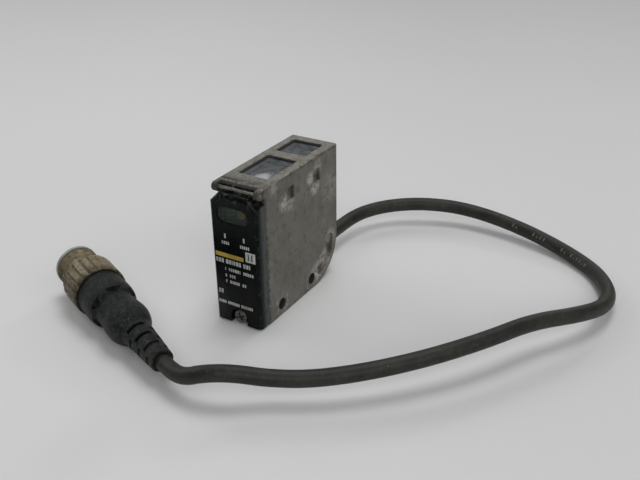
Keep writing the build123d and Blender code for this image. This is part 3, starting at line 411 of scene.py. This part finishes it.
def highlit_lens():
    """The receiver's lens: clear plastic with a white patch painted on, a painted highlight of the light.
    """
    paint = Paint("receiver_lens_glass", specular_ior_level=0.5)
    x, y = paint.axes()[:2]
    cloud = paint.noise(2.0, detail=4.0, rough=0.6, shift=4.0)
    # Painted highlight: a near-white, more opaque patch on the lens where the light would reflect.
    painted_highlight = ring(x, y, HIGHLIGHT_PATCH_AT, 0).step(4.6, 1.6) * cloud.step(0.1, 0.4)
    colour = paint.mix(painted_highlight, srgb(104, 110, 115), srgb(254, 254, 254))
    paint.set(base_color=colour, alpha=0.55 + painted_highlight * 0.43, roughness=0.1 + painted_highlight * 0.3)
    return paint.material


def domed_lens():
    """The emitter's lens: a clear polished dome."""
    paint = Paint("emitter_lens_glass", specular_ior_level=0.9)
    haze = paint.noise(1.5, detail=4.0)
    colour = paint.mix(haze.step(0.35, 0.65), srgb(112, 117, 120), srgb(158, 162, 164))
    paint.set(base_color=colour, alpha=0.85, roughness=0.03 + haze * 0.06)
    return paint.material


def moulded(name, dark, light, roughness, size=0.3, depth=0.012):
    """Plain moulded or rubbery stuff with a fine texture and slight variation."""
    paint = Paint(name)
    texture = paint.noise(size, detail=3.0)
    drift = paint.noise(size * 12, detail=4.0, shift=3.0)
    colour = paint.mix(drift.step(0.3, 0.7), dark, light)
    paint.set(base_color=colour, roughness=roughness - 0.06 + texture * 0.12)
    paint.bump(texture, depth)
    return paint.material


def machined(name, dark, light, roughness, metallic=1.0):
    """Turned or rolled metal with fine marks and dull patches."""
    paint = Paint(name, metallic=metallic)
    marks = paint.noise(0.12, detail=3.0, stretch=(1, 6, 6))
    dull = paint.noise(1.5, detail=4.0, rough=0.65, shift=5.0)
    colour = paint.mix(dull.step(0.35, 0.68), light, dark)
    paint.set(base_color=colour, roughness=roughness + dull * 0.2)
    paint.bump(marks, 0.006)
    return paint.material


def clear_lens(name, dark, light, painted_glow):
    """Tinted indicator lens that glows: painted light, as bright as the daylight that it gathers."""
    paint = Paint(name, emission_strength=painted_glow)
    drift = paint.noise(0.8, detail=2.0)
    colour = paint.mix(drift.step(0.3, 0.7), dark, light)
    paint.set(base_color=colour, emission_color=colour, roughness=0.2 + drift * 0.1)
    return paint.material


# ------------------------------------------------------------------ materials: cable and connector
def connector_places(paint):
    """Two fields: how far along the connector's axis a place is, and how far from the axis."""
    offset = paint.node("ShaderNodeVectorMath")
    offset.operation = "SUBTRACT"
    paint.tree.links.new(paint.place.outputs[0], offset.inputs[0])
    offset.inputs[1].default_value = CONNECTOR_END
    along = paint.node("ShaderNodeVectorMath")
    along.operation = "DOT_PRODUCT"
    paint.tree.links.new(offset.outputs[0], along.inputs[0])
    along.inputs[1].default_value = CONNECTOR_AXIS
    away = paint.node("ShaderNodeVectorMath")
    away.operation = "LENGTH"
    paint.tree.links.new(offset.outputs[0], away.inputs[0])
    station = Field(paint, along.outputs["Value"])
    distance = Field(paint, away.outputs["Value"])
    return station, (distance * distance - station * station).most(0).root()


def cable_jacket():
    """Dark olive-grey jacket: satin, dusty, with pale rubs and nicks."""
    paint = Paint("cable_jacket", specular_ior_level=0.4)
    grain = paint.noise(0.3, detail=3.0)
    dust = paint.noise(6.0, detail=5.0, rough=0.6, shift=2.0)
    rub = paint.noise(1.2, detail=5.0, rough=0.7, shift=9.0)
    colour = paint.mix(dust.step(0.35, 0.68), srgb(23, 23, 19), srgb(42, 42, 35))
    colour = paint.mix(rub.step(0.52, 0.7) * 0.28, colour, srgb(84, 84, 72))
    nicks = paint.cells(2.4, shift=3.0).step(0.1, 0.03) * rub.step(0.45, 0.55)
    colour = paint.mix(nicks * 0.45, colour, srgb(140, 140, 130))
    paint.set(base_color=colour, roughness=0.46 + dust * 0.14)
    paint.bump(grain, 0.015).bump(rub, 0.03)
    return paint.material


def overmould():
    """Charcoal rubber of the connector's body: scuffed and dusty, with painted shade in the slots of its
    strain relief.
    """
    paint = Paint("overmould", specular_ior_level=0.24)
    station, reach = connector_places(paint)
    grain = paint.noise(0.28, detail=3.0)
    wear = paint.noise(1.7, detail=5.0, rough=0.74, shift=4.0, warp=0.5)
    drift = paint.noise(5.0, detail=4.0, shift=8.0)
    scratches = paint.noise(0.4, detail=3.0, stretch=(1, 4, 1), shift=14.0, warp=0.6)
    mottle = paint.noise(0.8, detail=5.0, rough=0.75, shift=17.0, warp=0.8)
    colour = paint.mix(drift.step(0.3, 0.7), srgb(5, 7, 7), srgb(14, 16, 16))
    colour = paint.mix(mottle.step(0.52, 0.6) * 0.6, colour, srgb(66, 70, 69))
    colour = paint.mix(wear.step(0.5, 0.62) * 0.55, colour, srgb(52, 56, 56))
    specks = paint.cells(0.9, shift=2.0).step(0.16, 0.05) * wear.step(0.44, 0.56)
    colour = paint.mix(specks * 0.55, colour, srgb(138, 139, 134))
    colour = paint.mix(scratches.step(0.66, 0.74) * 0.35, colour, srgb(104, 106, 104))
    olive = station.step(7.0, 5.0) * drift.step(0.4, 0.6)
    colour = paint.mix(olive * 0.3, colour, srgb(62, 62, 52))
    # Painted shade: the slots in the strain relief are painted near black inside.
    slots = (station * 0.075 + 2.75 - reach).step(0.0, 0.4) * station.step(15.0, 14.0)
    colour = paint.mix(slots * 0.85, colour, srgb(10, 10, 10))
    paint.set(base_color=colour, roughness=0.38 + wear * 0.2)
    paint.bump(grain, 0.03).bump(wear, 0.3).bump(mottle, 0.28).bump(scratches, 0.04)
    return paint.material


def nut_brass():
    """Tarnished plating over brass: tan crests, brown grime between the ribs and in the thread, painted
    shade on its underside.
    """
    paint = Paint("nut_brass", specular_ior_level=0.5)
    station, reach = connector_places(paint)
    grain = paint.noise(0.25, detail=3.0)
    tarnish = paint.noise(2.0, detail=5.0, rough=0.65, shift=6.0)
    grime = paint.noise(1.1, detail=5.0, rough=0.7, shift=12.0)
    colour = paint.mix(tarnish.step(0.35, 0.68), srgb(150, 139, 112), srgb(116, 104, 80))
    colour = paint.mix(grime.step(0.49, 0.64) * 0.65, colour, srgb(68, 55, 36))
    colour = paint.mix(grain.step(0.62, 0.75) * 0.3, colour, srgb(176, 170, 150))
    in_grip = station.step(NUT_BACK, NUT_BACK + 0.2) * station.step(GRIP_FRONT, GRIP_FRONT - 0.2)
    between_ribs = reach.step(GRIP_R - 0.12, GRIP_R - 0.32) * in_grip * grime.step(0.25, 0.5)
    colour = paint.mix(between_ribs * 0.65, colour, srgb(46, 38, 26))
    z = paint.axes()[2]
    # Painted shade: the nut is painted darker low down, on the side turned from the light.
    underside_shade = z.step(12.0, 8.0) * grime.step(0.3, 0.5)
    colour = paint.mix(underside_shade * 0.75, colour, srgb(54, 44, 29))
    # Darker towards the nut's rear edge, broken up by the grime noise.
    rear_darkening = station.step(NUT_BACK + 3.6, NUT_BACK + 0.4) * grime.step(0.3, 0.52)
    colour = paint.mix(rear_darkening * 0.75, colour, srgb(52, 42, 27))
    in_thread = station.step(GRIP_FRONT + 1.6, GRIP_FRONT + 1.9)
    in_thread = in_thread * reach.step(THREAD_R - 0.1, THREAD_R - 0.4)
    colour = paint.mix(in_thread * 0.45, colour, srgb(70, 62, 46))
    step_dirt = abs(station - (GRIP_FRONT + 0.15)).step(0.5, 0.1)
    colour = paint.mix(step_dirt * 0.6, colour, srgb(66, 57, 40))
    chips = paint.cells(1.6, shift=7.0).step(0.26, 0.1) * grime.step(0.52, 0.4)
    colour = paint.mix(chips * 0.7, colour, srgb(196, 193, 180))
    paint.set(base_color=colour, metallic=0.25 + tarnish * 0.25, roughness=0.42 + grime * 0.22)
    paint.bump(grain, 0.02).bump(grime, 0.09)
    return paint.material


def ring_plastic():
    """Grey ring at the barrel's mouth, with a dark joint behind it."""
    paint = Paint("ring_plastic", transmission_weight=0.1, ior=1.5)
    station = connector_places(paint)[0]
    haze = paint.noise(0.8, detail=4.0)
    colour = paint.mix(haze.step(0.3, 0.7), srgb(150, 152, 145), srgb(184, 186, 180))
    colour = paint.mix(station.step(NUT_FRONT - 0.1, NUT_FRONT - 0.3) * 0.6, colour, srgb(58, 54, 45))
    paint.set(base_color=colour, roughness=0.35 + haze * 0.2)
    paint.bump(haze, 0.02)
    return paint.material


# ------------------------------------------------------------------ materials: one for each look
MATERIALS = {
    "housing_paint": housing_paint(),
    "cover_plastic": cover_plastic(),
    "smoke_glass": smoked_window(),
    "optic_glass": optic_glass(),
    "highlit_lens": highlit_lens(),
    "domed_lens": domed_lens(),
    "steel": machined("steel", srgb(128, 126, 120), srgb(186, 184, 178), 0.28),
    "screw_steel": machined("screw_steel", srgb(44, 43, 40), srgb(120, 118, 112), 0.32, metallic=0.8),
    "adjuster_brass": machined("adjuster_brass", srgb(150, 118, 62), srgb(206, 172, 104), 0.25),
    "contact_gold": machined("contact_gold", srgb(190, 150, 70), srgb(232, 198, 116), 0.18),
    "gasket_rubber": moulded("gasket_rubber", srgb(26, 27, 27), srgb(40, 41, 41), 0.6),
    "black_plastic": moulded("black_plastic", srgb(30, 31, 33), srgb(44, 45, 46), 0.5),
    "selector_plastic": moulded("selector_plastic", srgb(214, 211, 200), srgb(230, 228, 218), 0.35),
    "led_white": moulded("led_white", srgb(224, 220, 196), srgb(240, 237, 222), 0.35),
    "circuit_board": moulded("circuit_board", srgb(22, 84, 50), srgb(34, 106, 64), 0.4, size=0.6),
    "gland_rubber": moulded("gland_rubber", srgb(36, 37, 36), srgb(52, 53, 51), 0.6),
    "wire_insulation": moulded("wire_insulation", srgb(108, 70, 44), srgb(130, 88, 58), 0.45),
    "led_red": clear_lens("led_red", srgb(150, 30, 30), srgb(190, 60, 50), 0.0),
    # The green and amber lenses glow: painted light, though nothing lights them.
    "green_lens": clear_lens("green_lens", srgb(44, 104, 62), srgb(66, 132, 84), 0.2),
    "amber_lens": clear_lens("amber_lens", srgb(158, 130, 34), srgb(186, 156, 52), 0.2),
    "cable_jacket": cable_jacket(),
    "overmould": overmould(),
    "nut_brass": nut_brass(),
    "ring_plastic": ring_plastic(),
    "print_white": moulded("print_white", srgb(164, 167, 162), srgb(206, 208, 203), 0.5, size=0.2),
    "print_gold": moulded("print_gold", srgb(170, 142, 52), srgb(196, 168, 76), 0.45, size=0.2),
    "print_black": moulded("print_black", srgb(26, 28, 28), srgb(38, 40, 40), 0.5, size=0.2),
    "cable_print": moulded("cable_print", srgb(80, 82, 70), srgb(100, 102, 88), 0.6, size=0.2),
}

# These nodes look different from the others in their slots
OWN_LOOKS = {"receiver_lens": "highlit_lens", "emitter_lens": "domed_lens", "cover_screw": "screw_steel"}

for subpart in frame["record"]["subparts"]:
    node = frame["nodes"][subpart["node"]]
    node.data.materials.clear()
    look = OWN_LOOKS.get(subpart["node"], subpart["material_slot"])
    node.data.materials.append(MATERIALS[look])


# ------------------------------------------------------------------ meshes: helpers
def add_mesh(name, vertices, faces, material, body, slot):
    """A mesh piece from vertices in millimetres, riding on a body."""
    mesh = bpy.data.meshes.new(name)
    mesh.from_pydata([Vector(vertex) * MM for vertex in vertices], [], faces)
    mesh.update()
    piece = bpy.data.objects.new(name, mesh)
    scene.collection.objects.link(piece)
    piece.data.materials.append(MATERIALS[material])
    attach(piece, body)


# ------------------------------------------------------------------ cable
CABLE_DIAMETER = 4.2
# The part's own control points, but for three by the connector, moved to follow the photo
CABLE_ROUTE = (
    (0, 25.4, 5.6),
    (0, 34.7, 5.6),
    (1.3, 43.8, 6.2),
    (5.2, 51.4, 6.4),
    (11.3, 57.3, 6.6),
    (19, 61.5, 6.7),
    (28, 64.7, 6.2),
    (39, 65.1, 5.4),
    (51.7, 63, 4.3),
    (62.4, 59.8, 3.0),
    (69.8, 56.2, 2.4),
    (77.3, 50.2, 2.4),
    (82.7, 40.8, 2.9),
    (84, 30, 4.5),
    (80.1, 18.2, 7.4),
    (71.3, 6, 9.3),
    (64.6, -7.4, 9.7),
    (55.3, -20.1, 9.0),
    (44.8, -31, 8.1),
    (34.4, -38.9, 7.2),
    (25.7, -43.7, 7.3),
    (18.9, -48.5, 9.4),
    (12.8, -51.5, 9.0),
    (7.8, -52.3, 6.6),
    (3, -51.43, 5.94),
    (-1.2, -49.6, 6.1),
)


def route_curve(name, bevel):
    """The cable's line as one smooth spline through its route's control points."""
    curve = bpy.data.curves.new(name, "CURVE")
    curve.dimensions = "3D"
    spline = curve.splines.new("NURBS")
    spline.points.add(len(CABLE_ROUTE) - 1)
    for point, place in zip(spline.points, CABLE_ROUTE):
        point.co = (*(Vector(place) * MM), 1)
    spline.order_u = 3
    spline.use_endpoint_u = True
    curve.resolution_u = 12
    curve.bevel_depth = bevel * MM
    curve.bevel_resolution = 10
    curve.use_fill_caps = bevel > 0
    return bpy.data.objects.new(name, curve)


cable = route_curve("cable_lead", CABLE_DIAMETER / 2)
scene.collection.objects.link(cable)
cable.data.materials.append(MATERIALS["cable_jacket"])
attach(cable, "root")
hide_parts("cable")

bare_line = route_curve("cable_line", 0)
line_mesh = bpy.data.meshes.new_from_object(bare_line)
cable_line = [vertex.co / MM for vertex in line_mesh.vertices]
bpy.data.meshes.remove(line_mesh)
bpy.data.objects.remove(bare_line)


# ------------------------------------------------------------------ print on the cable
# How far all print stands proud of its surface, and how far it is sunk into it
PRINT_PROUD = 0.02
PRINT_SUNK = 0.05
# Groups of marks: where each group starts along the cable (mm), and how many marks it has
CABLE_MARKS = ((73.0, 2), (80.5, 4), (91.5, 2), (95.5, 6))
MARK_LENGTH = 0.5
MARK_PITCH = 1.3
# Degrees up from the cable's side. A short mark has only the first few of them
MARK_ANGLES = (16, 24, 32, 40, 48)
SHORT_MARK = 3


def cable_ring(distance):
    """Centre of the cable at a distance along it, and its sideways and upward directions there."""
    for start, end in zip(cable_line, cable_line[1:]):
        step = end - start
        if distance <= step.length:
            along = step.normalized()
            sideways = along.cross(Vector((0, 0, 1))).normalized()
            return start + along * distance, sideways, sideways.cross(along)
        distance -= step.length
    raise ValueError("past the cable's end")


def cable_mark(vertices, faces, start, tall):
    """One small printed mark, wrapped round the jacket above its side."""
    first = len(vertices)
    angles = MARK_ANGLES if tall else MARK_ANGLES[:SHORT_MARK]
    for distance in (start, start + MARK_LENGTH):
        centre, sideways, upwards = cable_ring(distance)
        for radius in (CABLE_DIAMETER / 2 + PRINT_PROUD, CABLE_DIAMETER / 2 - PRINT_SUNK):
            for angle in angles:
                turn = math.radians(angle)
                outwards = sideways * math.cos(turn) + upwards * math.sin(turn)
                vertices.append(centre + outwards * radius)
    count = len(angles)
    far = first + 2 * count
    for i in range(first, first + count - 1):
        faces.append((i, i + 1, i + 1 + 2 * count, i + 2 * count))
        faces.append((i + count + 1, i + count, i + 3 * count, i + 3 * count + 1))
        faces.append((i + 1, i, i + count, i + count + 1))
        faces.append((i + 2 * count, i + 2 * count + 1, i + 3 * count + 1, i + 3 * count))
    faces.append((first, far, far + count, first + count))
    last = first + count - 1
    faces.append((last + 2 * count, last, last + count, last + 3 * count))


marks = ([], [])
for group_start, mark_count in CABLE_MARKS:
    for mark in range(mark_count):
        cable_mark(*marks, group_start + MARK_PITCH * mark, tall=mark % 3 != 1)
add_mesh("cable_print", *marks, "cable_print", "root", "cable_jacket")


# ------------------------------------------------------------------ print on the cover
COLUMN_WIDTH = 0.5
DASH_GAP = 0.22


def cover_face_y(x):
    """Where the cover's front is at x: flat, then rounded away towards its sides."""
    past = max(0.0, abs(x) - (COVER_SIDE - COVER_ROUND))
    return FRONT + COVER_ROUND - math.sqrt(max(0.0, COVER_ROUND**2 - past**2))


def add_mark(vertices, faces, low_x, high_x, low_z, high_z, lift=0.0):
    """One rectangular printed mark that follows the cover's front. lift raises it above the others."""
    columns = max(1, math.ceil((high_x - low_x) / COLUMN_WIDTH))
    start = len(vertices)
    for column in range(columns + 1):
        x = low_x + (high_x - low_x) * column / columns
        y = cover_face_y(x)
        for depth in (-PRINT_PROUD - lift, PRINT_SUNK):
            for z in (low_z, high_z):
                vertices.append((x, y + depth, z))
    for column in range(columns):
        a = start + 4 * column
        b = a + 4
        faces.append((a, b, b + 1, a + 1))
        faces.append((a + 3, b + 3, b + 2, a + 2))
        faces.append((a + 1, b + 1, b + 3, a + 3))
        faces.append((a + 2, b + 2, b, a))
    end = start + 4 * columns
    faces.append((start, start + 1, start + 3, start + 2))
    faces.append((end + 2, end + 3, end + 1, end))


def dash_row(vertices, faces, low_x, high_x, middle_z, height, widths):
    """A row of blocks that stands for a line of print, their widths in turn. A negative width is a gap."""
    x = low_x
    index = 0
    while x + widths[index % len(widths)] <= high_x + 0.01:
        width = widths[index % len(widths)]
        if width > 0:
            add_mark(vertices, faces, x, x + width, middle_z - height / 2, middle_z + height / 2)
        x += abs(width) + DASH_GAP
        index += 1


white = ([], [])
for tick_x in (-2.75, 3.15):
    add_mark(*white, tick_x - 0.25, tick_x + 0.25, 25.75, 27.05)
dash_row(*white, -3.9, -1.5, 24.4, 0.9, (0.4, 0.45, 0.4, 0.4))
dash_row(*white, 1.9, 4.7, 24.4, 0.9, (0.35, 0.3, 0.45, 0.4, 0.4))
dash_row(*white, -6.1, 4.7, 18.9, 1.25, (0.6, 0.75, 0.6, -0.3, 0.75, 0.6, 0.35))
dash_row(*white, -3.4, 5.7, 16.6, 0.9, (0.25, -0.5, 0.4, 0.5, 0.4, 0.55, 0.45))
dash_row(*white, -3.4, 0.3, 14.7, 0.9, (0.4, -0.5, 0.45, 0.5))
dash_row(*white, -3.4, 3.2, 12.9, 0.9, (0.4, -0.5, 0.5, 0.4, 0.45, 0.4))
dash_row(*white, -6.0, -4.3, 9.4, 1.3, (0.6, 0.65))
dash_row(*white, -6.2, 5.0, 6.2, 0.9, (0.45, 0.4, 0.5, 0.35, -0.2, 0.4, 0.45))
add_mark(*white, 3.4, 6.4, 20.4, 23.3)
add_mesh("cover_print_white", *white, "print_white", "cover", "cover_plastic")

gold = ([], [])
add_mark(*gold, -6.2, 2.7, 20.1, 21.3)
add_mesh("cover_print_gold", *gold, "print_gold", "cover", "cover_plastic")

black = ([], [])
add_mark(*black, 4.1, 4.5, 20.9, 22.8, lift=0.01)
add_mark(*black, 5.2, 5.6, 20.9, 22.8, lift=0.01)
add_mesh("cover_print_black", *black, "print_black", "cover", "cover_plastic")


# ------------------------------------------------------------------ floor, backdrop and light
LIGHTS_AIM = Vector((0, 0, 15))
BEND_STEPS = 16


def add_stage():
    """A pale sweep: flat floor that curves up behind the object into a wall."""
    half_width = 2600
    near, far, bend, wall = -2600, 600, 400, 1500
    profile = [(near, 0), (far, 0)]
    for turn in range(1, BEND_STEPS + 1):
        angle = math.radians(90 * turn / BEND_STEPS)
        profile.append((far + bend * math.sin(angle), bend - bend * math.cos(angle)))
    profile.append((far + bend, wall))
    yaw = Matrix.Rotation(CAMERA_YAW, 4, "Z")
    vertices = []
    for along, height in profile:
        for across in (-half_width, half_width):
            vertices.append(yaw @ Vector((across, along, height)))
    faces = [(2 * i, 2 * i + 1, 2 * i + 3, 2 * i + 2) for i in range(len(profile) - 1)]
    mesh = bpy.data.meshes.new("floor")
    mesh.from_pydata([vertex * MM for vertex in vertices], [], faces)
    for polygon in mesh.polygons:
        polygon.use_smooth = True
    floor = bpy.data.objects.new("floor", mesh)
    scene.collection.objects.link(floor)
    paint = Paint("floor_paper")
    x, y = paint.axes()[:2]
    rightwards = x * math.cos(CAMERA_YAW) + y * math.sin(CAMERA_YAW)
    backwards = y * math.cos(CAMERA_YAW) - x * math.sin(CAMERA_YAW)
    # Painted falloff of the light: the floor is painted darker to the right and further back.
    shade = (rightwards.step(-100, 110) + backwards.step(15, 400)) * 0.5
    drift = paint.noise(90.0, detail=2.0)
    colour = paint.mix(shade, srgb(233, 233, 233), srgb(213, 213, 213))
    paint.set(base_color=colour, roughness=0.7 + drift * 0.1)
    floor.data.materials.append(paint.material)


def add_light(name, place, size, power):
    """A soft square lamp at place (mm), aimed at the object."""
    lamp = bpy.data.lights.new(name, "AREA")
    lamp.shape = "SQUARE"
    lamp.size = size * MM
    lamp.energy = power
    holder = bpy.data.objects.new(name, lamp)
    scene.collection.objects.link(holder)
    holder.location = Vector(place) * MM
    direction = LIGHTS_AIM - Vector(place)
    holder.rotation_euler = direction.to_track_quat("-Z", "Y").to_euler()


add_stage()
add_light("top_light", (40, 130, 700), 300, 1.5)
add_light("back_light", (-300, 420, 560), 400, 0.5)
add_light("low_back_light", (20, 700, 420), 110, 0.5)
add_light("left_light", (-640, 0, 400), 450, 1.1)
add_light("right_light", (620, -60, 360), 450, 0.75)
add_light("front_light", (420, -520, 460), 450, 1.7)

world = bpy.data.worlds.new("studio")
world.use_nodes = True
world.node_tree.nodes["Background"].inputs["Color"].default_value = srgb(236, 237, 238)
world.node_tree.nodes["Background"].inputs["Strength"].default_value = 0.09
scene.world = world
scene.view_settings.view_transform = "Standard"
